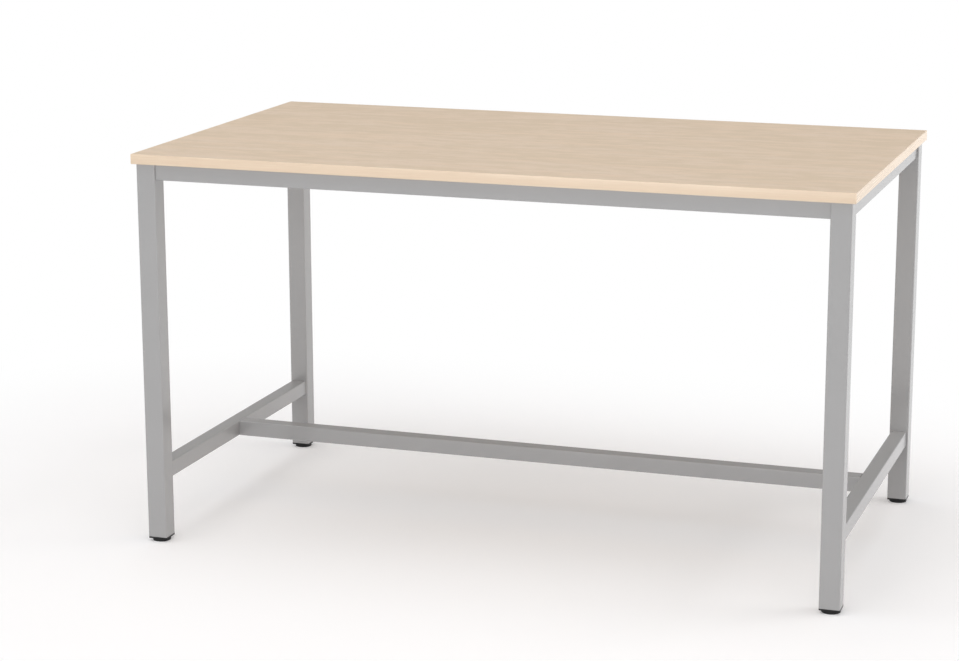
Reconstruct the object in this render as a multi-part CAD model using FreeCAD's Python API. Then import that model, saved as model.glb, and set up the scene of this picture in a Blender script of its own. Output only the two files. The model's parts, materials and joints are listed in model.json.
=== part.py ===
"""Standing meeting table, in millimetres: a laminated board on a frame of square steel tube.

Two welded end frames, each of two legs, an end rail and an end stretcher, are joined by a front rail,
a back rail and a centre stretcher. Each of these has a plate welded in each end, which keys into the end
frame by two lugs and is pulled up by a bolt, reached through a window on a hidden side of the tube. The
board is screwed down to cleats on the rails, and each leg stands on a threaded levelling glide.

+X is along the table, +Y is from front to back and +Z is up. The origin is on the floor under the
middle of the board.
"""
import FreeCAD, Part

import math
import os

from FreeCAD import Placement, Rotation, Vector

# Board
BOARD_LENGTH = 1800.0
BOARD_WIDTH = 1000.0
BOARD_TOP = 1000.0
BOARD_THICKNESS = 25.0
LAMINATE = 0.8
BAND = 2.0
BAND_ROUND = 1.5
OVERHANG = 10.0

# Tubes
LEG = 50.0
RAIL = 40.0
WALL = 2.0
TUBE_ROUND = 3.0
STRETCHER_TOP = 200.0
FLOOR_TO_LEG = 12.5

# Bolted joints
END_PLATE = 5.0
PLATE_HOLE = 9.0
LUG_LENGTH = 3.5
LUG_WIDTH = 14.0
LUG_HEIGHT = 4.0
LUG_SPACING = 26.0
LUG_CLEARANCE = 0.2
WINDOW_LENGTH = 40.0
WINDOW_WIDTH = 22.0
WINDOW_CHAMFER = 4.0
WINDOW_FROM_END = 8.0
NUT_FLATS = 11.0
NUT_LENGTH = 16.0
BOLT_LENGTH = 16.0
BOLT_FLATS = 13.0
BOLT_HEAD = 5.3

# M8 threads, drawn as plain cylinders with running clearance in their holes
M8_SHANK = 7.84
M8_BORE = 8.0

# Cleats and screws that hold the board down
CLEAT_WIDTH = 32.0
CLEAT_DROP = 26.0
CLEAT_REACH = 30.0
CLEAT_STEEL = 3.0
CLEAT_FOLD = 2.0
CLEAT_SLOT_WIDTH = 7.0
CLEAT_SLOT_LENGTH = 9.0
CLEAT_SLOT_FROM_RAIL = 18.0
LONG_RAIL_CLEATS = (-560.0, 0.0, 560.0)
END_RAIL_CLEATS = (0.0,)
SCREW_SHANK = 5.0
SCREW_LENGTH = 20.0
SCREW_FLATS = 10.0
SCREW_HEAD = 4.0

# Weld beads
WELD_LEG = 2.0

# Levelling glides
PAD = 46.0
PAD_HEIGHT = 7.9
PAD_RECESS = 15.2
PAD_FLOOR = 2.9
FLANGE_BOTTOM = 8.2
PLUG = 45.8
PLUG_CHAMFER = 4.0
PLUG_LENGTH = 22.0
STEM_FLATS = 13.0
STEM_HEAD_BOTTOM = 3.0
STEM_HEAD = 4.6
STEM_TOP = 46.0

BOARD_UNDERSIDE = BOARD_TOP - BOARD_THICKNESS
LEG_X = BOARD_LENGTH / 2 - OVERHANG - LEG / 2
LEG_Y = BOARD_WIDTH / 2 - OVERHANG - LEG / 2
LONG_SPAN = 2 * LEG_X - LEG
END_SPAN = 2 * LEG_Y - LEG
STRETCHER_SPAN = 2 * LEG_X - RAIL
RAIL_Z = BOARD_UNDERSIDE - RAIL / 2
STRETCHER_Z = STRETCHER_TOP - RAIL / 2

ENDS = {"left": -1, "right": 1}
SIDES = {"front": -1, "back": 1}
X, Y, Z = Vector(1, 0, 0), Vector(0, 1, 0), Vector(0, 0, 1)


# ---- Shared shapes ----


def placed(shape, at, along=Z, turn=0.0):
    """A copy of shape turned about its own Z, swung so that its Z runs along a direction, and moved to a point."""
    copy = shape.copy()
    copy.Placement = Placement(Vector(*at), Rotation(Z, along) * Rotation(Z, turn)) * copy.Placement
    return copy


def prism(points, run):
    """The solid that a flat closed outline of points sweeps along a straight run."""
    return Part.Face(Part.makePolygon(points + points[:1])).extrude(run)


def box(size_x, size_y, size_z):
    """A box centred on Z, standing on z = 0."""
    return Part.makeBox(size_x, size_y, size_z, Vector(-size_x / 2, -size_y / 2, 0))


def uprights(shape, height):
    return [edge for edge in shape.Edges if edge.BoundBox.ZLength > height / 2]


def rounded_box(size_x, size_y, size_z, radius):
    plain = box(size_x, size_y, size_z)
    return plain.makeFillet(radius, uprights(plain, size_z))


def chamfered_box(size_x, size_y, size_z, chamfer):
    plain = box(size_x, size_y, size_z)
    return plain.makeChamfer(chamfer, uprights(plain, size_z))


def square_tube(size, length):
    """A square tube from the origin along +Z."""
    bore = size - 2 * WALL
    return rounded_box(size, size, length, TUBE_ROUND).cut(box(bore, bore, length))


def hexagon_bar(flats, height):
    corner = flats / math.sqrt(3)
    angles = [math.radians(60 * step) for step in range(6)]
    return prism([Vector(corner * math.cos(a), corner * math.sin(a), 0) for a in angles], Z * height)


def export(name, *solids):
    shape = solids[0] if len(solids) == 1 else Part.makeCompound(list(solids))
    shape.exportStep(f"parts/{name}.step")


# ---- Board ----


def board_sheet(bottom, thickness):
    sheet = box(BOARD_LENGTH - 2 * BAND, BOARD_WIDTH - 2 * BAND, thickness)
    return placed(sheet, (0, 0, bottom))


def edge_band(length):
    """A band along X, with its outer face at y = 0 facing -Y and its long outer edges rounded."""
    band = Part.makeBox(length, BAND, BOARD_THICKNESS, Vector(-length / 2, 0, BOARD_UNDERSIDE))
    outer = [edge for edge in band.Edges if edge.BoundBox.XLength > BAND and edge.BoundBox.YMax < BAND / 2]
    return band.makeFillet(BAND_ROUND, outer)


def export_board():
    export("top_laminate", board_sheet(BOARD_TOP - LAMINATE, LAMINATE))
    export("board_core", board_sheet(BOARD_UNDERSIDE + LAMINATE, BOARD_THICKNESS - 2 * LAMINATE))
    export("backing_laminate", board_sheet(BOARD_UNDERSIDE, LAMINATE))
    long_band = edge_band(BOARD_LENGTH)
    short_band = edge_band(BOARD_WIDTH - 2 * BAND)
    export("edge_band_front", placed(long_band, (0, -BOARD_WIDTH / 2, 0)))
    export("edge_band_back", placed(long_band, (0, BOARD_WIDTH / 2, 0), turn=180))
    export("edge_band_left", placed(short_band, (-BOARD_LENGTH / 2, 0, 0), turn=-90))
    export("edge_band_right", placed(short_band, (BOARD_LENGTH / 2, 0, 0), turn=90))


# ---- Bolted joints ----


def joint_points(end):
    """The points on an end frame's inner faces that its three bolted joints are centred on."""
    at_rails = [Vector(end * LONG_SPAN / 2, side * LEG_Y, RAIL_Z) for side in SIDES.values()]
    return at_rails + [Vector(end * STRETCHER_SPAN / 2, 0, STRETCHER_Z)]


def at_joint(shape, point, end):
    """A joint piece placed with its Z pointing to the middle of the table and its X upright."""
    return placed(shape, point, along=X * -end)


def joint_socket():
    """What a joint takes out of the wall below z = 0: a hexagon hole for the nut and a slot for each lug."""
    depth = 2 * WALL
    tools = [placed(hexagon_bar(NUT_FLATS, depth), (0, 0, -depth))]
    for step in (-1, 1):
        slot = box(LUG_HEIGHT + 2 * LUG_CLEARANCE, LUG_WIDTH + 2 * LUG_CLEARANCE, depth)
        tools.append(placed(slot, (step * LUG_SPACING / 2, 0, -depth)))
    return Part.makeCompound(tools)


def end_plate():
    """The plate welded in a rail's end. Its outer face is at z = 0, and its lugs stand out below that."""
    size = RAIL - 2 * WALL
    lug = box(LUG_HEIGHT, LUG_WIDTH, LUG_LENGTH)
    lugs = [placed(lug, (step * LUG_SPACING / 2, 0, -LUG_LENGTH)) for step in (-1, 1)]
    return box(size, size, END_PLATE).fuse(lugs).cut(Part.makeCylinder(PLATE_HOLE / 2, END_PLATE))


def rivet_nut():
    """A hexagon rivet nut whose mouth is flush with z = 0."""
    nut = hexagon_bar(NUT_FLATS, NUT_LENGTH).cut(Part.makeCylinder(M8_BORE / 2, NUT_LENGTH))
    return placed(nut, (0, 0, -NUT_LENGTH))


def joint_bolt():
    """An M8 hexagon bolt whose head seats on the end plate, with its shank along -Z."""
    head = placed(hexagon_bar(BOLT_FLATS, BOLT_HEAD), (0, 0, END_PLATE))
    shank = Part.makeCylinder(M8_SHANK / 2, BOLT_LENGTH, Vector(0, 0, END_PLATE - BOLT_LENGTH))
    return head.fuse(shank)


def export_joint_fasteners():
    nuts, bolts = [], []
    for end in ENDS.values():
        nuts += [at_joint(rivet_nut(), point, end) for point in joint_points(end)]
        bolts += [at_joint(joint_bolt(), point, end) for point in joint_points(end)]
    export("joint_rivet_nuts", *nuts)
    export("joint_bolts", *bolts)


# ---- Frame ----


def with_socket(tube, point, end):
    return tube.cut(at_joint(joint_socket(), point, end))


def leg(end, side):
    tube = placed(square_tube(LEG, BOARD_UNDERSIDE - FLOOR_TO_LEG), (end * LEG_X, side * LEG_Y, FLOOR_TO_LEG))
    return with_socket(tube, (end * LONG_SPAN / 2, side * LEG_Y, RAIL_Z), end)


def end_tube(end, z):
    """An end rail or end stretcher, along Y between two legs."""
    return placed(square_tube(RAIL, END_SPAN), (end * LEG_X, -END_SPAN / 2, z), along=Y)


def end_stretcher(end):
    return with_socket(end_tube(end, STRETCHER_Z), (end * STRETCHER_SPAN / 2, 0, STRETCHER_Z), end)


def bolted_tube(span, at, window_side):
    """A tube along X, centred on a point, with a window near each end through the wall on window_side."""
    tube = placed(square_tube(RAIL, span), at - X * (span / 2), along=X)
    window = chamfered_box(WINDOW_LENGTH, WINDOW_WIDTH, 2 * WALL, WINDOW_CHAMFER)
    reach = span / 2 - WINDOW_FROM_END - WINDOW_LENGTH / 2
    wall = at + window_side * (RAIL / 2 - 1.5 * WALL)
    return tube.cut([placed(window, wall + X * (end * reach), along=window_side) for end in ENDS.values()])


def end_plates(span, at):
    return [at_joint(end_plate(), at + X * (end * span / 2), end) for end in ENDS.values()]


def weld_bead(length):
    """A flat-faced bead along Z, centred on the origin, in the corner between the faces x = 0 and y = 0."""
    outline = [(0, 0), (WELD_LEG, 0), (0, WELD_LEG)]
    return prism([Vector(x, y, -length / 2) for x, y in outline], Z * length)


def end_frame_beads(end):
    """The beads on the inner side and underneath each end tube where it meets a leg."""
    bead = weld_bead(RAIL - 2 * TUBE_ROUND)
    beads = []
    for side in SIDES.values():
        to_middle = math.degrees(math.atan2(-side, -end)) - 45
        for z in (RAIL_Z, STRETCHER_Z):
            meets = Vector(end * LEG_X, side * END_SPAN / 2, z)
            beads.append(placed(bead, meets - X * (end * RAIL / 2), turn=to_middle))
            beads.append(placed(bead, meets - Z * (RAIL / 2), along=X, turn=-90 if side > 0 else 0))
    return beads


def export_frame():
    for end_name, end in ENDS.items():
        for side_name, side in SIDES.items():
            export(f"leg_{side_name}_{end_name}", leg(end, side))
        export(f"{end_name}_end_rail", end_tube(end, RAIL_Z))
        export(f"{end_name}_end_stretcher", end_stretcher(end))
        export(f"{end_name}_end_frame_welds", *end_frame_beads(end))
    for side_name, side in SIDES.items():
        at = Vector(0, side * LEG_Y, RAIL_Z)
        export(f"{side_name}_rail", bolted_tube(LONG_SPAN, at, Y * -side))
        export(f"{side_name}_rail_end_plates", *end_plates(LONG_SPAN, at))
    at = Vector(0, 0, STRETCHER_Z)
    export("centre_stretcher", bolted_tube(STRETCHER_SPAN, at, -Z))
    export("centre_stretcher_end_plates", *end_plates(STRETCHER_SPAN, at))


# ---- Board fixings ----


def cleat():
    """A folded cleat, with its upright on the face y = 0 and its flat, below z = 0, reaching +Y."""
    section = [
        (0, -CLEAT_DROP),
        (0, -CLEAT_FOLD),
        (CLEAT_FOLD, 0),
        (CLEAT_REACH, 0),
        (CLEAT_REACH, -CLEAT_STEEL),
        (CLEAT_STEEL, -CLEAT_STEEL),
        (CLEAT_STEEL, -CLEAT_DROP),
    ]
    angle = prism([Vector(-CLEAT_WIDTH / 2, y, z) for y, z in section], X * CLEAT_WIDTH)
    slot = box(CLEAT_SLOT_LENGTH, CLEAT_SLOT_WIDTH, CLEAT_STEEL)
    return angle.cut(placed(slot, (0, CLEAT_SLOT_FROM_RAIL, -CLEAT_STEEL)))


def board_screw():
    """A hexagon-headed wood screw, up through the cleat's slot, in the cleat's own frame."""
    head = placed(hexagon_bar(SCREW_FLATS, SCREW_HEAD), (0, 0, -CLEAT_STEEL - SCREW_HEAD))
    shank = Part.makeCylinder(SCREW_SHANK / 2, SCREW_LENGTH, Vector(0, 0, -CLEAT_STEEL))
    return placed(head.fuse(shank), (0, CLEAT_SLOT_FROM_RAIL, 0))


def at_cleats(piece):
    """The same piece at every cleat, given in the cleat's own frame."""
    rail_x, rail_y = LEG_X - RAIL / 2, LEG_Y - RAIL / 2
    copies = []
    for side in SIDES.values():
        turn = 90 + 90 * side
        copies += [placed(piece, (x, side * rail_y, BOARD_UNDERSIDE), turn=turn) for x in LONG_RAIL_CLEATS]
    for end in ENDS.values():
        turn = 90 * end
        copies += [placed(piece, (end * rail_x, y, BOARD_UNDERSIDE), turn=turn) for y in END_RAIL_CLEATS]
    return copies


def export_board_fixings():
    export("cleats", *at_cleats(cleat()))
    export("board_screws", *at_cleats(board_screw()))


# ---- Levelling glides ----


def leg_insert():
    """The threaded plug in a leg's end, with a flange that covers the tube's end."""
    flange = placed(rounded_box(LEG, LEG, FLOOR_TO_LEG - FLANGE_BOTTOM, TUBE_ROUND), (0, 0, FLANGE_BOTTOM))
    plug = placed(chamfered_box(PLUG, PLUG, PLUG_LENGTH, PLUG_CHAMFER), (0, 0, FLOOR_TO_LEG))
    return flange.fuse(plug).cut(Part.makeCylinder(M8_BORE / 2, FLOOR_TO_LEG + PLUG_LENGTH))


def glide_stem():
    """The M8 stem, whose hexagon head turns in the pad."""
    head = placed(hexagon_bar(STEM_FLATS, STEM_HEAD), (0, 0, STEM_HEAD_BOTTOM))
    shank_bottom = STEM_HEAD_BOTTOM + STEM_HEAD
    return head.fuse(Part.makeCylinder(M8_SHANK / 2, STEM_TOP - shank_bottom, Vector(0, 0, shank_bottom)))


def glide_pad():
    """The round foot, which stays still on the floor while the stem's head turns in its recess."""
    pad = Part.makeCylinder(PAD / 2, PAD_HEIGHT)
    return pad.cut(Part.makeCylinder(PAD_RECESS / 2, PAD_HEIGHT, Vector(0, 0, PAD_FLOOR)))


def export_glides():
    inserts = []
    for end_name, end in ENDS.items():
        for side_name, side in SIDES.items():
            under_leg = (end * LEG_X, side * LEG_Y, 0)
            inserts.append(placed(leg_insert(), under_leg))
            export(f"glide_stem_{side_name}_{end_name}", placed(glide_stem(), under_leg))
            export(f"glide_pad_{side_name}_{end_name}", placed(glide_pad(), under_leg))
    export("leg_inserts", *inserts)


os.makedirs("parts", exist_ok=True)
export_board()
export_joint_fasteners()
export_frame()
export_board_fixings()
export_glides()
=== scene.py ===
"""Standing meeting table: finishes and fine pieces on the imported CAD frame, with a studio stage.

Everything is in metres, in the table's own frame: +X along the table, +Y from front to back, +Z up, with the
origin on the floor under the middle of the board.
"""

import json
import math

import bmesh
import bpy
from bpy.props import FloatProperty, FloatVectorProperty, PointerProperty
from bpy.types import Operator, Panel, PropertyGroup
from mathutils import Matrix, Vector


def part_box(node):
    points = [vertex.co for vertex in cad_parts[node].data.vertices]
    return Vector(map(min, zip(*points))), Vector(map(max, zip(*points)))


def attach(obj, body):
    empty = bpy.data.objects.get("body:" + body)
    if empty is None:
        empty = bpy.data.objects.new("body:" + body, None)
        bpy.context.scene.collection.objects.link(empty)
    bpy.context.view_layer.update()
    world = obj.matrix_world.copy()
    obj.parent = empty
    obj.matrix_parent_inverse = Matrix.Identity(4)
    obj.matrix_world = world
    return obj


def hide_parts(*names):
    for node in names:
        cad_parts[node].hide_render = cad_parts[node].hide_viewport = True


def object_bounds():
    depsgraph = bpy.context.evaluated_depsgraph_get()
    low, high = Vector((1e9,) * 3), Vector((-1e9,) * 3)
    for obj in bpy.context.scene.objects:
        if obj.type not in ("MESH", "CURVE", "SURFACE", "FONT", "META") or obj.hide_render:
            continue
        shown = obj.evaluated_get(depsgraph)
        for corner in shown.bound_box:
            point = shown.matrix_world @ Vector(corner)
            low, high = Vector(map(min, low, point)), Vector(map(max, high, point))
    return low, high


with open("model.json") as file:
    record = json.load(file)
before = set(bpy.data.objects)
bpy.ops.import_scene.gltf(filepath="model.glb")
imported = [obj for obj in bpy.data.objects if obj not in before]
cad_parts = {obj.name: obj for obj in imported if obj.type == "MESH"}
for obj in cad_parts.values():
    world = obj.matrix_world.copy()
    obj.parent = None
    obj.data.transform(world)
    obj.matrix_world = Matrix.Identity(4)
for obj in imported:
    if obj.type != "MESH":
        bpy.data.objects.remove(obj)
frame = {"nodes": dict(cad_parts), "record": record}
cad_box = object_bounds()

bl_info = {
    "name": "Standing Meeting Table",
    "version": (1, 0, 0),
    "blender": (4, 5, 0),
    "location": "3D View > Sidebar > Meeting Table",
    "description": "Finishes, fasteners, levelling glides and a studio stage for a standing meeting table",
    "category": "Object",
}

MM = 0.001
ENDS = {"left": -1, "right": 1}
SIDES = ("front", "back")
CORNERS = [f"{side}_{end}" for end in ENDS for side in SIDES]
SLOT_OF = {part["node"]: part["material_slot"] for part in frame["record"]["subparts"]}
X, Y, Z = Vector((1, 0, 0)), Vector((0, 1, 0)), Vector((0, 0, 1))

# Two places closer than this are the same.
NEAR = 0.01 * MM
# Faces that meet at a flatter angle than this are shaded as one smooth surface.
SMOOTH_BELOW = math.radians(35)
# How many straight steps go round a turned piece.
FASTENER_STEPS = 48
PAD_STEPS = 96
# The diameter of a hexagon head's flat top, as a share of the width across flats, and the chamfer's angle.
HEAD_TOP = 0.95
HEAD_CHAMFER = math.radians(30)
# A thread's depth as a share of its pitch, and the rings that draw one turn of it.
THREAD_DEPTH = 0.61
RINGS_PER_TURN = 6
# The radius of a wood screw's blunt point, as a share of its shank's.
SCREW_POINT = 0.1
# The rings that draw one ripple of a weld.
RINGS_PER_RIPPLE = 8
# The depth of a weld's ripples and the height of its ends, as shares of the bead's height.
RIPPLE_DEPTH = 0.09
BEAD_END = 0.15
# The width of the camera's film in millimetres.
FILM_WIDTH = 36
# Where each lamp stands, the point that it is turned to, and its width and height.
LAMPS = {
    "overhead": ((-0.8, -1.2, 7.0), (0, 0, 1), 8.0, 7.0),
    "right": ((4.8, 1.5, 1.4), (0, 0, 0.6), 3.0, 2.0),
    "front": ((0.0, -6.5, 1.8), (0, 0, 0.5), 4.5, 2.5),
}
WHITE = (1, 1, 1, 1)
# The colour sockets of a Mix node.
MIX_FIRST, MIX_SECOND, MIX_RESULT = 6, 7, 2


# ---- What a user can change ----


def colour(name, description, red, green, blue):
    """An opaque colour, in linear light."""
    return FloatVectorProperty(
        name=name, description=description, default=(red, green, blue, 1), size=4, min=0, max=1,
        subtype="COLOR",
    )


def length(name, description, default):
    """A length in metres."""
    return FloatProperty(
        name=name, description=description, default=default, min=0, unit="LENGTH", subtype="DISTANCE",
        precision=5,
    )


def share(name, description, default):
    """A share from 0 to 1."""
    return FloatProperty(name=name, description=description, default=default, min=0, max=1, subtype="FACTOR")


def power(name, description, default):
    """A power in watts."""
    return FloatProperty(name=name, description=description, default=default, min=0, unit="POWER")


def angle(name, description, degrees):
    """An angle, given in degrees and kept in radians."""
    return FloatProperty(name=name, description=description, default=math.radians(degrees), subtype="ANGLE")


class BoardLook(PropertyGroup):
    """Sizes and colours of the board"""

    maple: colour("Maple", "Main colour of the maple laminate", 0.785, 0.63, 0.49)
    maple_dark: colour("Maple figure", "Colour of the darker figure in the laminate", 0.705, 0.555, 0.395)
    maple_warm: colour("Warm maple", "Colour of the warmer stretches of the laminate", 0.80, 0.62, 0.455)
    maple_fleck: colour("Maple flecks", "Colour of the short fine flecks along the grain", 0.58, 0.43, 0.30)
    edging: colour("Edging", "Main colour of the plastic edge bands", 0.885, 0.715, 0.542)
    edging_dark: colour("Edging grain", "Colour of the grain printed on the edge bands", 0.815, 0.635, 0.468)
    chip_pale: colour("Pale chips", "Colour of the palest chips in the core", 0.62, 0.47, 0.30)
    chip_dark: colour("Dark chips", "Colour of the darkest chips in the core", 0.30, 0.19, 0.10)
    roughness: share("Board roughness", "Roughness of the laminate", 0.48)
    edging_roughness: share("Edging roughness", "Roughness of the edge bands", 0.26)
    corner: length("Corner rounding", "Radius of the board's upright corners", 1.8 * MM)
    edge: length("Edge rounding", "Radius of the long edges of the bands", 1.5 * MM)


class FrameLook(PropertyGroup):
    """Sizes and colours of the frame"""

    coat: colour("Powder coat", "Colour of the silver powder coat", 0.407, 0.404, 0.405)
    flake: colour("Flakes", "Colour of the coat's metallic flakes", 0.525, 0.52, 0.523)
    roughness: share("Coat roughness", "Roughness of the powder coat", 0.19)
    bead: length("Weld leg", "Height of the weld beads", 2.2 * MM)
    ripple: length("Weld ripple", "Distance from one ripple of a weld to the next", 1.6 * MM)
    end_gap: length("Weld end", "Distance from a weld's end to the tube's corner", 3.0 * MM)


class FastenerLook(PropertyGroup):
    """Sizes and colours of the cleats, screws, bolts and threads"""

    zinc: colour("Zinc", "Colour of the zinc plating", 0.62, 0.62, 0.60)
    zinc_tint: colour("Zinc tint", "Colour of the passivated plating in places", 0.60, 0.58, 0.47)
    cleat_steel: length("Cleat steel", "Thickness of the folded cleats", 3.0 * MM)
    cleat_fold: length("Cleat fold", "Inner radius of the cleats' fold", 1.0 * MM)
    cleat_corner: length("Cleat corner", "Radius of the cleats' free corners", 4.0 * MM)
    bolt_head: length("Bolt head", "Height of the joint bolts' heads", 5.3 * MM)
    bolt_flats: length("Bolt flats", "Width across the flats of the joint bolts and glide stems", 13.0 * MM)
    screw_head: length("Screw head", "Height of the board screws' heads", 4.0 * MM)
    screw_flats: length("Screw flats", "Width across the flats of the board screws", 10.0 * MM)
    screw_shank: length("Screw shank", "Diameter of the board screws", 5.0 * MM)
    thread: length("Thread diameter", "Outer diameter of the M8 threads", 7.84 * MM)
    pitch: length("Thread pitch", "Height of one turn of the M8 thread", 1.25 * MM)


class GlideLook(PropertyGroup):
    """Sizes and colours of the levelling glides"""

    nylon: colour("Nylon", "Colour of the black nylon", 0.013, 0.013, 0.014)
    scuff: colour("Scuffed nylon", "Colour of the nylon where it is scuffed", 0.07, 0.07, 0.07)
    roughness: share("Nylon roughness", "Roughness of the moulded nylon", 0.5)
    shoulder: length("Pad shoulder", "Radius of the pads' upper edge", 2.4 * MM)
    foot_edge: length("Pad foot edge", "Radius of the pads' lower edge", 0.8 * MM)
    recess: length("Pad recess", "Diameter of the recess that holds the stem's head", 15.2 * MM)
    recess_floor: length("Pad recess floor", "Height of the recess's floor over the ground", 2.9 * MM)
    stem_head: length("Stem head", "Height of the stems' heads", 4.6 * MM)


class StageLook(PropertyGroup):
    """Floor, surroundings, lamps and camera"""

    floor: colour("Floor", "Colour of the studio floor", 0.815, 0.803, 0.806)
    floor_lift: share("Floor lift", "How far the floor's shadows are lifted towards white", 0.235)
    floor_size: length("Floor size", "Length of the floor's sides", 60.0)
    sky: share("Sky", "Brightness of the surroundings overhead", 0.45)
    horizon: share("Horizon", "Brightness of the surroundings at the horizon", 1.0)
    horizon_height: share("Horizon height", "Sine of the angle where the sky's own brightness starts", 0.22)
    fade_from: length("Fade from", "Distance from the table where the floor starts to fade to white", 0.4)
    fade_to: length("Fade to", "Distance from the table where the floor is white", 1.5)
    fade_ahead: length("Fade ahead", "How far towards the front the fade's middle lies from the table's", 0.3)
    overhead: power("Overhead lamp", "Power of the large lamp above", 250.0)
    right: power("Right lamp", "Power of the lamp at the right", 84.0)
    front: power("Front lamp", "Power of the lamp at the front", 93.0)
    camera_at: FloatVectorProperty(
        name="Camera place", description="Where the camera stands", default=(1.8678, -5.9058, 1.9533),
        size=3, subtype="TRANSLATION", unit="LENGTH",
    )
    camera_turn: angle("Camera turn", "Turn to the left from looking along +Y", 18.977)
    camera_dip: angle("Camera dip", "Tilt down from level", 13.126)
    camera_roll: angle("Camera roll", "Turn about the line of sight", -0.149)
    camera_lens: FloatProperty(
        name="Camera lens", description="Focal length in mm", default=92.54, min=1, unit="CAMERA"
    )


class MeetingTable(PropertyGroup):
    """All that a user can change"""

    board: PointerProperty(type=BoardLook, name="Board", description="Sizes and colours of the board")
    frame: PointerProperty(type=FrameLook, name="Frame", description="Sizes and colours of the frame")
    fasteners: PointerProperty(
        type=FastenerLook, name="Fasteners", description="Sizes and colours of the fasteners"
    )
    glides: PointerProperty(type=GlideLook, name="Glides", description="Sizes and colours of the glides")
    stage: PointerProperty(type=StageLook, name="Stage", description="Floor, lamps and camera")


# ---- Node trees ----


def add_node(tree, kind, values=None, **settings):
    """A new node with its settings and socket values. A value that is a socket is linked."""
    node = tree.nodes.new(kind)
    for setting, value in settings.items():
        setattr(node, setting, value)
    for socket, value in (values or {}).items():
        if isinstance(value, bpy.types.NodeSocket):
            tree.links.new(value, node.inputs[socket])
        else:
            node.inputs[socket].default_value = value
    return node


def place(tree, cells, shift=0.0):
    """The place on the piece, in so many cells a metre along X, Y and Z, shifted by some cells."""
    metres = add_node(tree, "ShaderNodeTexCoord").outputs["Object"]
    values = {"Vector": metres, "Scale": cells, "Location": (shift, shift, shift)}
    return add_node(tree, "ShaderNodeMapping", values).outputs["Vector"]


def noise(tree, cells, detail=3.0, shift=0.0, rough=0.5):
    """Noise from 0 to 1, in so many cells a metre along X, Y and Z. Each shift gives its own pattern."""
    values = {"Vector": place(tree, cells, shift), "Scale": 1.0, "Detail": detail, "Roughness": rough}
    return add_node(tree, "ShaderNodeTexNoise", values).outputs["Fac"]


def spread(tree, value, low, high, to_low=0.0, to_high=1.0):
    """A value's range from low to high, spread over another range."""
    levels = {"Value": value, "From Min": low, "From Max": high, "To Min": to_low, "To Max": to_high}
    return add_node(tree, "ShaderNodeMapRange", levels).outputs["Result"]


def blend(tree, factor, first, second):
    """A colour between two others."""
    values = {"Factor": factor, MIX_FIRST: first, MIX_SECOND: second}
    return add_node(tree, "ShaderNodeMix", values, data_type="RGBA").outputs[MIX_RESULT]


def math_node(tree, operation, first, second):
    """The result of a sum on two values."""
    return add_node(tree, "ShaderNodeMath", {0: first, 1: second}, operation=operation).outputs[0]


def vector_node(tree, operation, first, second=(0, 0, 0)):
    """The results of a sum on two vectors."""
    return add_node(tree, "ShaderNodeVectorMath", {0: first, 1: second}, operation=operation).outputs


def smooth_step(tree, value, low, high):
    """0 below a value's low end and 1 above its high end, with a smooth turn between."""
    steps = {"Value": value, "From Min": low, "From Max": high}
    return add_node(tree, "ShaderNodeMapRange", steps, interpolation_type="SMOOTHSTEP").outputs["Result"]


def bump(tree, height, depth, strength):
    """A surface's normal, tilted by a relief so many metres deep."""
    relief = {"Height": height, "Distance": depth, "Strength": strength}
    return add_node(tree, "ShaderNodeBump", relief).outputs[0]


def surface(name):
    """A new material, its node tree and its shader."""
    material = bpy.data.materials.new(name)
    material.use_nodes = True
    return material, material.node_tree, material.node_tree.nodes["Principled BSDF"]


def drive(tree, shader, tone, gloss, normal):
    """Links a shader's colour, roughness and normal."""
    for socket, value in (("Base Color", tone), ("Roughness", gloss), ("Normal", normal)):
        tree.links.new(value, shader.inputs[socket])


# ---- Finishes ----


def maple_laminate(name, look):
    """Satin maple laminate, with its grain along X: soft streaks, fine grain and short flecks."""
    material, tree, shader = surface(name)
    short_streaks = noise(tree, (14, 34, 34), detail=4)
    long_streaks = noise(tree, (2.4, 21, 21), detail=6, shift=7.3, rough=0.6)
    figure = spread(tree, math_node(tree, "ADD", short_streaks, long_streaks), 0.87, 1.13)
    warmth = spread(tree, noise(tree, (3, 26, 26), detail=4, shift=19.1), 0.38, 0.62)
    grain = noise(tree, (16, 240, 240), detail=5)
    fibres = spread(tree, noise(tree, (22, 750, 750), detail=3, shift=3.7), 0.45, 0.72, to_high=0.45)
    flecks = spread(tree, noise(tree, (70, 800, 800), detail=1, shift=11.9), 0.60, 0.76, to_high=0.5)
    tone = blend(tree, figure, blend(tree, warmth, look.maple, look.maple_warm), look.maple_dark)
    tone = blend(tree, spread(tree, grain, 0.35, 0.75, to_high=0.5), tone, look.maple)
    tone = blend(tree, fibres, tone, look.maple_dark)
    tone = blend(tree, flecks, tone, look.maple_fleck)
    gloss = spread(tree, grain, 0.3, 0.7, look.roughness - 0.03, look.roughness + 0.05)
    drive(tree, shader, tone, gloss, bump(tree, grain, 0.04 * MM, 0.5))
    return material


def maple_edging(name, look):
    """Plastic edge band with maple grain printed along it."""
    material, tree, shader = surface(name)
    streaks = spread(tree, noise(tree, (9, 9, 420), detail=4), 0.35, 0.68)
    cloud = spread(tree, noise(tree, (5, 5, 30), detail=3), 0.4, 0.7, to_high=0.5)
    tone = blend(tree, cloud, blend(tree, streaks, look.edging, look.edging_dark), look.edging)
    gloss = spread(tree, streaks, 0, 1, look.edging_roughness - 0.04, look.edging_roughness + 0.04)
    grain = noise(tree, (60, 60, 900), detail=2)
    drive(tree, shader, tone, gloss, bump(tree, grain, 0.02 * MM, 0.4))
    return material


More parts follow.
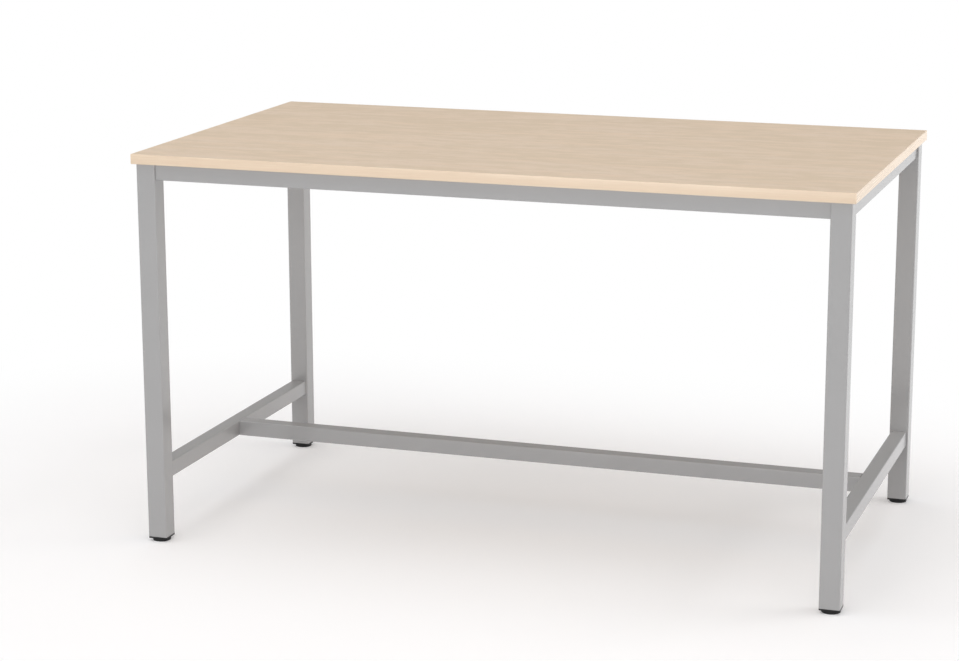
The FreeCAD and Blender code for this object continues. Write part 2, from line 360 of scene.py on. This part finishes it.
def chipboard(name, look):
    """Pressed wood chips lying flat in the board."""
    material, tree, shader = surface(name)
    chips = add_node(tree, "ShaderNodeTexVoronoi", {"Vector": place(tree, (160, 300, 1100)), "Scale": 1.0})
    chip = add_node(tree, "ShaderNodeSeparateColor", {"Color": chips.outputs["Color"]}).outputs["Red"]
    tone = blend(tree, chip, look.chip_dark, look.chip_pale)
    gloss = spread(tree, chip, 0, 1, 0.75, 0.95)
    drive(tree, shader, tone, gloss, bump(tree, chips.outputs["Distance"], 0.2 * MM, 0.6))
    return material


def silver_powder_coat(name, look):
    """Satin silver-grey powder coat with fine flakes and a slight orange-peel texture."""
    material, tree, shader = surface(name)
    shader.inputs["Metallic"].default_value = 0.15
    cloud = spread(tree, noise(tree, (6, 6, 6)), 0.3, 0.7, to_high=0.12)
    flakes = spread(tree, noise(tree, (2600, 2600, 2600), detail=1), 0.6, 0.75, to_high=0.4)
    peel = noise(tree, (900, 900, 900), detail=2)
    tone = blend(tree, flakes, blend(tree, cloud, look.coat, look.flake), look.flake)
    gloss = spread(tree, peel, 0.3, 0.7, look.roughness - 0.03, look.roughness + 0.03)
    drive(tree, shader, tone, gloss, bump(tree, peel, 0.015 * MM, 0.35))
    return material


def zinc_plated_steel(name, look):
    """Bright zinc plating with a faint yellow passivation and fine turning marks."""
    material, tree, shader = surface(name)
    shader.inputs["Metallic"].default_value = 1.0
    tint = spread(tree, noise(tree, (90, 90, 90)), 0.45, 0.75)
    tone = blend(tree, tint, look.zinc, look.zinc_tint)
    marks = noise(tree, (400, 400, 5000), detail=2)
    gloss = spread(tree, marks, 0.3, 0.7, 0.24, 0.42)
    drive(tree, shader, tone, gloss, bump(tree, marks, 0.01 * MM, 0.4))
    return material


def black_nylon(name, look):
    """Moulded black nylon with a fine spark-eroded grain and faint scuffs."""
    material, tree, shader = surface(name)
    shader.inputs["Specular IOR Level"].default_value = 0.3
    grain = noise(tree, (1800, 1800, 1800), detail=2)
    scuffs = spread(tree, noise(tree, (120, 120, 40), detail=4), 0.55, 0.8, to_high=0.2)
    tone = blend(tree, scuffs, look.nylon, look.scuff)
    gloss = spread(tree, grain, 0.3, 0.7, look.roughness - 0.06, look.roughness + 0.08)
    drive(tree, shader, tone, gloss, bump(tree, grain, 0.03 * MM, 0.5))
    return material


FINISHES = {
    "maple_laminate": (maple_laminate, "board"),
    "maple_edging": (maple_edging, "board"),
    "chipboard": (chipboard, "board"),
    "silver_powder_coat": (silver_powder_coat, "frame"),
    "zinc_plated_steel": (zinc_plated_steel, "fasteners"),
    "black_nylon": (black_nylon, "glides"),
}


def finish(slot):
    """The material for one of the record's slots, made when it is first asked for."""
    name = f"{slot}_finish"
    maker, look = FINISHES[slot]
    return bpy.data.materials.get(name) or maker(name, getattr(bpy.context.scene.meeting_table, look))


def finish_nodes(slot):
    """Gives every CAD node of a slot its finish."""
    for name, node in frame["nodes"].items():
        if SLOT_OF[name] == slot:
            for material_slot in node.material_slots:
                material_slot.material = finish(slot)


# ---- Shapes ----


def plate(low, high):
    """A box between two corners."""
    shape = bmesh.new()
    bmesh.ops.create_cube(shape, size=1, matrix=Matrix.LocRotScale((low + high) / 2, None, high - low))
    return shape


def round_edges(shape, radius, chosen, steps=4):
    """Rounds the edges that a test picks by their two ends."""
    edges = [edge for edge in shape.edges if chosen(*(corner.co for corner in edge.verts))]
    bmesh.ops.bevel(shape, geom=edges, offset=radius, segments=steps, profile=0.5, affect="EDGES")


def loft(rings):
    """A closed skin over rings with as many points each, and a flat face over the first and the last ring."""
    shape = bmesh.new()
    loops = [[shape.verts.new(point) for point in ring] for ring in rings]
    for lower, upper in zip(loops, loops[1:]):
        for here, after in zip(range(len(lower)), [*range(1, len(lower)), 0]):
            shape.faces.new((lower[here], lower[after], upper[after], upper[here]))
    shape.faces.new(loops[0])
    shape.faces.new(loops[-1])
    return shape


def turned(profile, steps):
    """A piece turned about Z, from (radius, height) pairs. A radius may depend on the angle."""
    angles = [2 * math.pi * step / steps for step in range(steps)]
    rings = []
    for radius, height in profile:
        reaches = [radius(a) if callable(radius) else radius for a in angles]
        rings.append([Vector((r * math.cos(a), r * math.sin(a), height)) for r, a in zip(reaches, angles)])
    return loft(rings)


def arc(across, up, radius, start, stop, steps=6):
    """Points on an arc about a centre, from one angle to another, in degrees."""
    turns = [math.radians(start + (stop - start) * step / steps) for step in range(steps + 1)]
    return [(across + radius * math.cos(turn), up + radius * math.sin(turn)) for turn in turns]


def hexagon(flats, within=math.inf):
    """A hexagon's radius at each angle, cut back to a circle."""
    sixth = math.pi / 3
    return lambda turn: min(flats / 2 / math.cos(turn % sixth - sixth / 2), within)


def hexagon_head(flats, seat, steps=6):
    """The profile of a hexagon head, from its chamfered top at height 0 up to its seat."""
    corner = flats / math.sqrt(3)
    chamfer = corner - HEAD_TOP / 2 * flats
    rise = chamfer * math.tan(HEAD_CHAMFER)
    shares = [step / steps for step in range(steps, -1, -1)]
    cut = [(hexagon(flats, corner - chamfer * inward), rise * (1 - inward)) for inward in shares]
    return [*cut, (hexagon(flats), seat)]


def thread(crest, start, stop, pitch):
    """The profile of a right-hand thread between two heights, which fades out at both ends."""
    depth = THREAD_DEPTH * pitch
    steps = round(RINGS_PER_TURN * (stop - start) / pitch)

    def ridge(height):
        fade = min(1, (height - start) / pitch, (stop - height) / pitch)
        return lambda turn: crest - depth * (
            1 - fade * (1 - abs(2 * ((height / pitch - turn / (2 * math.pi)) % 1) - 1))
        )

    heights = [start + (stop - start) * step / steps for step in range(steps + 1)]
    return [(ridge(height), height) for height in heights]


def bolt(seat, end, look):
    """A hexagon-headed bolt along Z, from its head's top at height 0, threaded from its seat to its end."""
    shank = look.thread / 2
    profile = hexagon_head(look.bolt_flats, seat)
    profile += [(shank, seat), *thread(shank, seat, end, look.pitch)]
    return turned(profile, FASTENER_STEPS)


def solids(node):
    """The lowest and highest corners of each separate solid of a CAD node."""
    mesh = frame["nodes"][node].data
    spots = [tuple(round(value / NEAR) for value in vertex.co) for vertex in mesh.vertices]
    home = {spot: spot for spot in spots}

    def root(spot):
        while home[spot] != spot:
            home[spot] = home[home[spot]]
            spot = home[spot]
        return spot

    for polygon in mesh.polygons:
        first, *others = [spots[index] for index in polygon.vertices]
        for other in others:
            home[root(other)] = root(first)
    groups = {}
    for spot, vertex in zip(spots, mesh.vertices):
        groups.setdefault(root(spot), []).append(vertex.co)
    return [(Vector(map(min, zip(*group))), Vector(map(max, zip(*group)))) for group in groups.values()]


def axes(origin, along_x, along_y, along_z):
    """The placement whose own axes run along three directions."""
    turn = Matrix((along_x, along_y, along_z)).transposed().to_4x4()
    return Matrix.Translation(origin) @ turn


def standing(low, high):
    """The placement at the middle of a box's foot."""
    middle = (low + high) / 2
    return Matrix.Translation((middle.x, middle.y, low.z))


def copies(shape, placements):
    """The same shape at many places, in one. The shape is used up."""
    whole = bmesh.new()
    mesh = bpy.data.meshes.new("copy")
    for placement in placements:
        shape.to_mesh(mesh)
        mesh.transform(placement)
        whole.from_mesh(mesh)
    shape.free()
    bpy.data.meshes.remove(mesh)
    return whole


def fit(name, shape, slot, body, *nodes):
    """Makes a finished piece that rides on a body and stands for CAD nodes. The shape is used up."""
    mesh = bpy.data.meshes.new(name)
    bmesh.ops.recalc_face_normals(shape, faces=shape.faces)
    shape.to_mesh(mesh)
    shape.free()
    mesh.shade_smooth()
    mesh.set_sharp_from_angle(angle=SMOOTH_BELOW)
    mesh.materials.append(finish(slot))
    piece = bpy.data.objects.new(name, mesh)
    bpy.context.scene.collection.objects.link(piece)
    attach(piece, body)
    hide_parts(*nodes)


def near(*values):
    """Whether all values are the same."""
    return max(values) - min(values) < NEAR


# ---- Board ----


class MEETINGTABLE_OT_laminates(Operator):
    """Finish the laminates and the core of the board"""

    bl_idname = "meeting_table.laminates"
    bl_label = "Laminates and core"

    def execute(self, context):
        finish_nodes("maple_laminate")
        finish_nodes("chipboard")
        return {"FINISHED"}


def long_band(low, high, outer, look):
    """A long edge band, rounded at the board's upright corners and along its outer edges."""
    inner = low.y + high.y - outer
    shape = plate(low, high)
    round_edges(shape, look.corner, lambda a, b: near(a.y, b.y, outer) and near(a.x, b.x), steps=6)
    round_edges(shape, look.edge, lambda a, b: near(a.z, b.z) and not near(a.y, b.y, inner))
    return shape


class MEETINGTABLE_OT_edge_bands(Operator):
    """Finish the edge bands, and round the board's upright corners on the long ones"""

    bl_idname = "meeting_table.edge_bands"
    bl_label = "Edge bands"

    def execute(self, context):
        finish_nodes("maple_edging")
        for side in SIDES:
            node = f"edge_band_{side}"
            low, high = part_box(node)
            outer = low.y if side == "front" else high.y
            shape = long_band(low, high, outer, context.scene.meeting_table.board)
            fit(f"{node}_piece", shape, "maple_edging", "frame", node)
        return {"FINISHED"}


# ---- Frame ----


class MEETINGTABLE_OT_tubes(Operator):
    """Powder-coat the legs, rails, stretchers and end plates"""

    bl_idname = "meeting_table.tubes"
    bl_label = "Tubes"

    def execute(self, context):
        finish_nodes("silver_powder_coat")
        return {"FINISHED"}


def weld_bead(size, look):
    """A rippled bead along Z, in the corner between the faces x = 0 and y = 0."""
    steps = RINGS_PER_RIPPLE * round(size / look.ripple)
    rings = []
    for step in range(steps + 1):
        along = size * (step / steps - 0.5)
        rise = math.sqrt(min(1, (size / 2 - abs(along)) / look.bead))
        fullness = BEAD_END + (1 - BEAD_END) * rise
        ring = [Vector((0, 0, along))]
        for across, up in arc(0, 0, 1, 0, 90, steps=8):
            wave = abs(math.sin(math.pi * (along / look.ripple + across * up)))
            ripple = 1 - RIPPLE_DEPTH + RIPPLE_DEPTH * wave
            ring.append(Vector((across, up, 0)) * look.bead * fullness * ripple + Z * along)
        rings.append(ring)
    return loft(rings)


class MEETINGTABLE_OT_welds(Operator):
    """Lay the rippled weld beads of the two end frames"""

    bl_idname = "meeting_table.welds"
    bl_label = "Weld beads"

    def execute(self, context):
        look = context.scene.meeting_table.frame
        for end, sign in ENDS.items():
            places = []
            for tube in ("rail", "stretcher"):
                low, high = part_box(f"{end}_end_{tube}")
                middle = (low + high) / 2
                inner = low.x if sign > 0 else high.x
                for y, inward in ((low.y, Y), (high.y, -Y)):
                    places.append(axes(Vector((inner, y, middle.z)), X * -sign, inward, Z))
                    places.append(axes(Vector((middle.x, y, low.z)), -Z, inward, X))
            size = high.z - low.z - 2 * look.end_gap
            shape = copies(weld_bead(size, look), places)
            fit(f"{end}_weld_beads", shape, "silver_powder_coat", "frame", f"{end}_end_frame_welds")
        return {"FINISHED"}


# ---- Fasteners ----


def cleat(width, reach, drop, look):
    """A folded cleat along X, with its upright on the face y = 0 and its flat reaching +Y, below z = 0."""
    steel, inner = look.cleat_steel, look.cleat_fold
    outer = steel + inner
    section = [(0, -drop), *arc(outer, -outer, outer, 180, 90), (reach, 0), (reach, -steel)]
    section += [*arc(outer, -outer, inner, 90, 180), (steel, -drop)]
    shape = loft([[Vector((x, y, z)) for y, z in section] for x in (-width / 2, width / 2)])
    bmesh.ops.recalc_face_normals(shape, faces=shape.faces)
    round_edges(shape, look.cleat_corner, lambda a, b: near(a.x, b.x) and near(a.y, b.y, reach), steps=6)
    round_edges(shape, look.cleat_corner, lambda a, b: near(a.x, b.x) and near(a.z, b.z, -drop), steps=6)
    return shape


class MEETINGTABLE_OT_cleats(Operator):
    """Fold the cleats that hold the board to the rails"""

    bl_idname = "meeting_table.cleats"
    bl_label = "Cleats"

    def execute(self, context):
        places = []
        for low, high in solids("cleats"):
            middle, size = (low + high) / 2, high - low
            if size.x > size.y:
                inward = -Y if middle.y > 0 else Y
            else:
                inward = -X if middle.x > 0 else X
            reach, width = sorted((size.x, size.y))
            origin = Vector((middle.x, middle.y, high.z)) - inward * reach / 2
            places.append(axes(origin, inward.cross(Z), inward, Z))
        drop = size.z
        shape = copies(cleat(width, reach, drop, context.scene.meeting_table.fasteners), places)
        fit("folded_cleats", shape, "silver_powder_coat", "frame", "cleats")
        return {"FINISHED"}


class MEETINGTABLE_OT_board_screws(Operator):
    """Drive the hexagon-headed screws through the cleats into the board"""

    bl_idname = "meeting_table.board_screws"
    bl_label = "Board screws"

    def execute(self, context):
        look = context.scene.meeting_table.fasteners
        screws = solids("board_screws")
        end = screws[0][1].z - screws[0][0].z
        shank, tip = look.screw_shank / 2, look.screw_shank
        profile = hexagon_head(look.screw_flats, look.screw_head)
        profile += [(shank, look.screw_head), (shank, end - tip), (SCREW_POINT * shank, end)]
        shape = copies(turned(profile, FASTENER_STEPS), [standing(low, high) for low, high in screws])
        fit("hexagon_board_screws", shape, "zinc_plated_steel", "frame", "board_screws")
        return {"FINISHED"}


class MEETINGTABLE_OT_joint_bolts(Operator):
    """Fit the bolts and rivet nuts that join the long tubes to the end frames"""

    bl_idname = "meeting_table.joint_bolts"
    bl_label = "Joint bolts and nuts"

    def execute(self, context):
        look = context.scene.meeting_table.fasteners
        finish_nodes("zinc_plated_steel")
        places = []
        for low, high in solids("joint_bolts"):
            middle = (low + high) / 2
            outward = X if middle.x > 0 else -X
            start = Vector((low.x if middle.x > 0 else high.x, middle.y, middle.z))
            places.append(axes(start, outward.cross(Z), Z, outward))
        shape = copies(bolt(look.bolt_head, high.x - low.x, look), places)
        fit("threaded_joint_bolts", shape, "zinc_plated_steel", "frame", "joint_bolts")
        return {"FINISHED"}


# ---- Levelling glides ----


class MEETINGTABLE_OT_leg_inserts(Operator):
    """Finish the threaded inserts in the legs' ends"""

    bl_idname = "meeting_table.leg_inserts"
    bl_label = "Leg inserts"

    def execute(self, context):
        finish_nodes("black_nylon")
        return {"FINISHED"}


class MEETINGTABLE_OT_glide_stems(Operator):
    """Cut the threaded stems of the levelling glides"""

    bl_idname = "meeting_table.glide_stems"
    bl_label = "Glide stems"

    def execute(self, context):
        table = context.scene.meeting_table
        for corner in CORNERS:
            node = f"glide_stem_{corner}"
            low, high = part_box(node)
            stem = bolt(table.glides.stem_head, high.z - low.z, table.fasteners)
            shape = copies(stem, [standing(low, high)])
            fit(f"{node}_piece", shape, "zinc_plated_steel", f"{corner}_stem", node)
        return {"FINISHED"}


class MEETINGTABLE_OT_glide_pads(Operator):
    """Mould the round pads of the levelling glides"""

    bl_idname = "meeting_table.glide_pads"
    bl_label = "Glide pads"

    def execute(self, context):
        look = context.scene.meeting_table.glides
        for corner in CORNERS:
            node = f"glide_pad_{corner}"
            low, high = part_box(node)
            radius, height = (high.x - low.x) / 2, high.z - low.z
            foot, shoulder, recess = look.foot_edge, look.shoulder, look.recess / 2
            profile = arc(radius - foot, foot, foot, -90, 0)
            profile += arc(radius - shoulder, height - shoulder, shoulder, 0, 90)
            profile += [(recess, height), (recess, look.recess_floor)]
            shape = copies(turned(profile, PAD_STEPS), [standing(low, high)])
            fit(f"{node}_piece", shape, "black_nylon", f"{corner}_pad", node)
        return {"FINISHED"}


# ---- Stage ----


def seen_or_mirrored(tree):
    """1 for rays from the camera and for rays off or through gloss and glass, and 0 for the rest."""
    path = add_node(tree, "ShaderNodeLightPath").outputs
    gloss_or_glass = math_node(tree, "MAXIMUM", path["Is Glossy Ray"], path["Is Transmission Ray"])
    return math_node(tree, "MAXIMUM", path["Is Camera Ray"], gloss_or_glass)


def studio_floor(look):
    """Pale matt floor for the table's soft shadow. It fades to white a step away and is clear from below."""
    material, tree, shader = surface("studio_floor")
    shader.inputs["Roughness"].default_value = 0.9
    shader.inputs["Specular IOR Level"].default_value = 0.0
    mottle = spread(tree, noise(tree, (2, 2, 2)), 0.3, 0.7, 0.99, 1.0)
    tree.links.new(vector_node(tree, "MULTIPLY", look.floor[:3], mottle)[0], shader.inputs["Base Color"])
    seen = seen_or_mirrored(tree)
    shader.inputs["Emission Color"].default_value = WHITE
    tree.links.new(math_node(tree, "MULTIPLY", seen, look.floor_lift), shader.inputs["Emission Strength"])
    metres = add_node(tree, "ShaderNodeTexCoord").outputs["Object"]
    middle = vector_node(tree, "ADD", metres, (0, look.fade_ahead, 0))[0]
    reach = vector_node(tree, "SUBTRACT", vector_node(tree, "ABSOLUTE", middle)[0], (*cad_box[1].xy, 0))[0]
    away = vector_node(tree, "LENGTH", vector_node(tree, "MAXIMUM", reach)[0])["Value"]
    white = add_node(tree, "ShaderNodeEmission", {"Strength": 1.0}).outputs[0]
    fade = math_node(tree, "MULTIPLY", seen, smooth_step(tree, away, look.fade_from, look.fade_to))
    above = add_node(tree, "ShaderNodeMixShader", {0: fade, 1: shader.outputs[0], 2: white})
    below = add_node(tree, "ShaderNodeBsdfTransparent")
    back = add_node(tree, "ShaderNodeNewGeometry").outputs["Backfacing"]
    mix = add_node(tree, "ShaderNodeMixShader", {0: back, 1: above.outputs[0], 2: below.outputs[0]})
    tree.links.new(mix.outputs[0], tree.nodes["Material Output"].inputs["Surface"])
    return material


def studio_world(look):
    """Even surroundings, white at the horizon and softer overhead."""
    world = bpy.data.worlds.new("studio_world")
    world.use_nodes = True
    tree = world.node_tree
    direction = add_node(tree, "ShaderNodeTexCoord").outputs["Generated"]
    height = add_node(tree, "ShaderNodeSeparateXYZ", {0: direction}).outputs["Z"]
    strength = spread(tree, smooth_step(tree, height, 0.0, look.horizon_height), 0, 1, look.horizon, look.sky)
    tree.links.new(strength, tree.nodes["Background"].inputs["Strength"])
    tree.nodes["Background"].inputs["Color"].default_value = WHITE
    return world


def lamp(name, at, aim, width, height, watts):
    """Adds a soft rectangular lamp at a point, turned to another."""
    light = bpy.data.lights.new(name, "AREA")
    light.shape = "RECTANGLE"
    light.size = width
    light.size_y = height
    light.energy = watts
    placed = bpy.data.objects.new(name, light)
    placed.location = at
    placed.rotation_euler = (Vector(aim) - Vector(at)).to_track_quat("-Z", "Y").to_euler()
    placed.visible_camera = False
    bpy.context.scene.collection.objects.link(placed)


def camera(look):
    """The camera, turned from level along +Y by its turn, dip and roll."""
    view = bpy.data.cameras.new("studio_camera")
    view.lens = look.camera_lens
    view.sensor_width = FILM_WIDTH
    placed = bpy.data.objects.new("studio_camera", view)
    turn = Matrix.Rotation(look.camera_turn, 4, "Z")
    dip = Matrix.Rotation(math.pi / 2 - look.camera_dip, 4, "X")
    roll = Matrix.Rotation(look.camera_roll, 4, "Z")
    placed.matrix_world = Matrix.Translation(look.camera_at) @ turn @ dip @ roll
    bpy.context.scene.collection.objects.link(placed)
    return placed


class MEETINGTABLE_OT_stage(Operator):
    """Lay the floor, and set the lamps, the background and the camera"""

    bl_idname = "meeting_table.stage"
    bl_label = "Studio stage"

    def execute(self, context):
        look, scene = context.scene.meeting_table.stage, context.scene
        shape = bmesh.new()
        bmesh.ops.create_grid(shape, x_segments=1, y_segments=1, size=look.floor_size / 2)
        mesh = bpy.data.meshes.new("studio_floor")
        shape.to_mesh(mesh)
        shape.free()
        mesh.materials.append(studio_floor(look))
        floor = bpy.data.objects.new("studio_floor", mesh)
        scene.collection.objects.link(floor)
        scene.world = studio_world(look)
        for name, (at, aim, width, height) in LAMPS.items():
            lamp(f"{name}_lamp", at, aim, width, height, getattr(look, name))
        scene.camera = camera(look)
        scene.view_settings.view_transform = "Standard"
        return {"FINISHED"}


# ---- Panel and registration ----


class MEETINGTABLE_PT_panel(Panel):
    """Builds the table's pieces and sets their sizes and colours"""

    bl_idname = "MEETINGTABLE_PT_panel"
    bl_label = "Meeting Table"
    bl_space_type = "VIEW_3D"
    bl_region_type = "UI"
    bl_category = "Meeting Table"

    def draw(self, context):
        table = context.scene.meeting_table
        for operator in OPERATORS:
            self.layout.operator(operator.bl_idname)
        for look in (table.board, table.frame, table.fasteners, table.glides, table.stage):
            box = self.layout.box()
            for name in look.bl_rna.properties.keys():
                if name not in ("rna_type", "name"):
                    box.prop(look, name)


OPERATORS = (
    MEETINGTABLE_OT_laminates,
    MEETINGTABLE_OT_edge_bands,
    MEETINGTABLE_OT_tubes,
    MEETINGTABLE_OT_welds,
    MEETINGTABLE_OT_cleats,
    MEETINGTABLE_OT_board_screws,
    MEETINGTABLE_OT_joint_bolts,
    MEETINGTABLE_OT_leg_inserts,
    MEETINGTABLE_OT_glide_stems,
    MEETINGTABLE_OT_glide_pads,
    MEETINGTABLE_OT_stage,
)
LOOKS = (BoardLook, FrameLook, FastenerLook, GlideLook, StageLook, MeetingTable)


def register():
    """Adds the settings, the operators and the panel."""
    for item in (*LOOKS, *OPERATORS, MEETINGTABLE_PT_panel):
        bpy.utils.register_class(item)
    bpy.types.Scene.meeting_table = PointerProperty(
        type=MeetingTable, name="Meeting table", description="Sizes and colours of the standing meeting table"
    )


def unregister():
    """Takes the settings, the operators and the panel away."""
    del bpy.types.Scene.meeting_table
    for item in reversed((*LOOKS, *OPERATORS, MEETINGTABLE_PT_panel)):
        bpy.utils.unregister_class(item)


def main():
    """Builds every piece and the stage."""
    register()
    bpy.ops.meeting_table.laminates()
    bpy.ops.meeting_table.edge_bands()
    bpy.ops.meeting_table.tubes()
    bpy.ops.meeting_table.welds()
    bpy.ops.meeting_table.cleats()
    bpy.ops.meeting_table.board_screws()
    bpy.ops.meeting_table.joint_bolts()
    bpy.ops.meeting_table.leg_inserts()
    bpy.ops.meeting_table.glide_stems()
    bpy.ops.meeting_table.glide_pads()
    bpy.ops.meeting_table.stage()


if __name__ == "__main__":
    main()
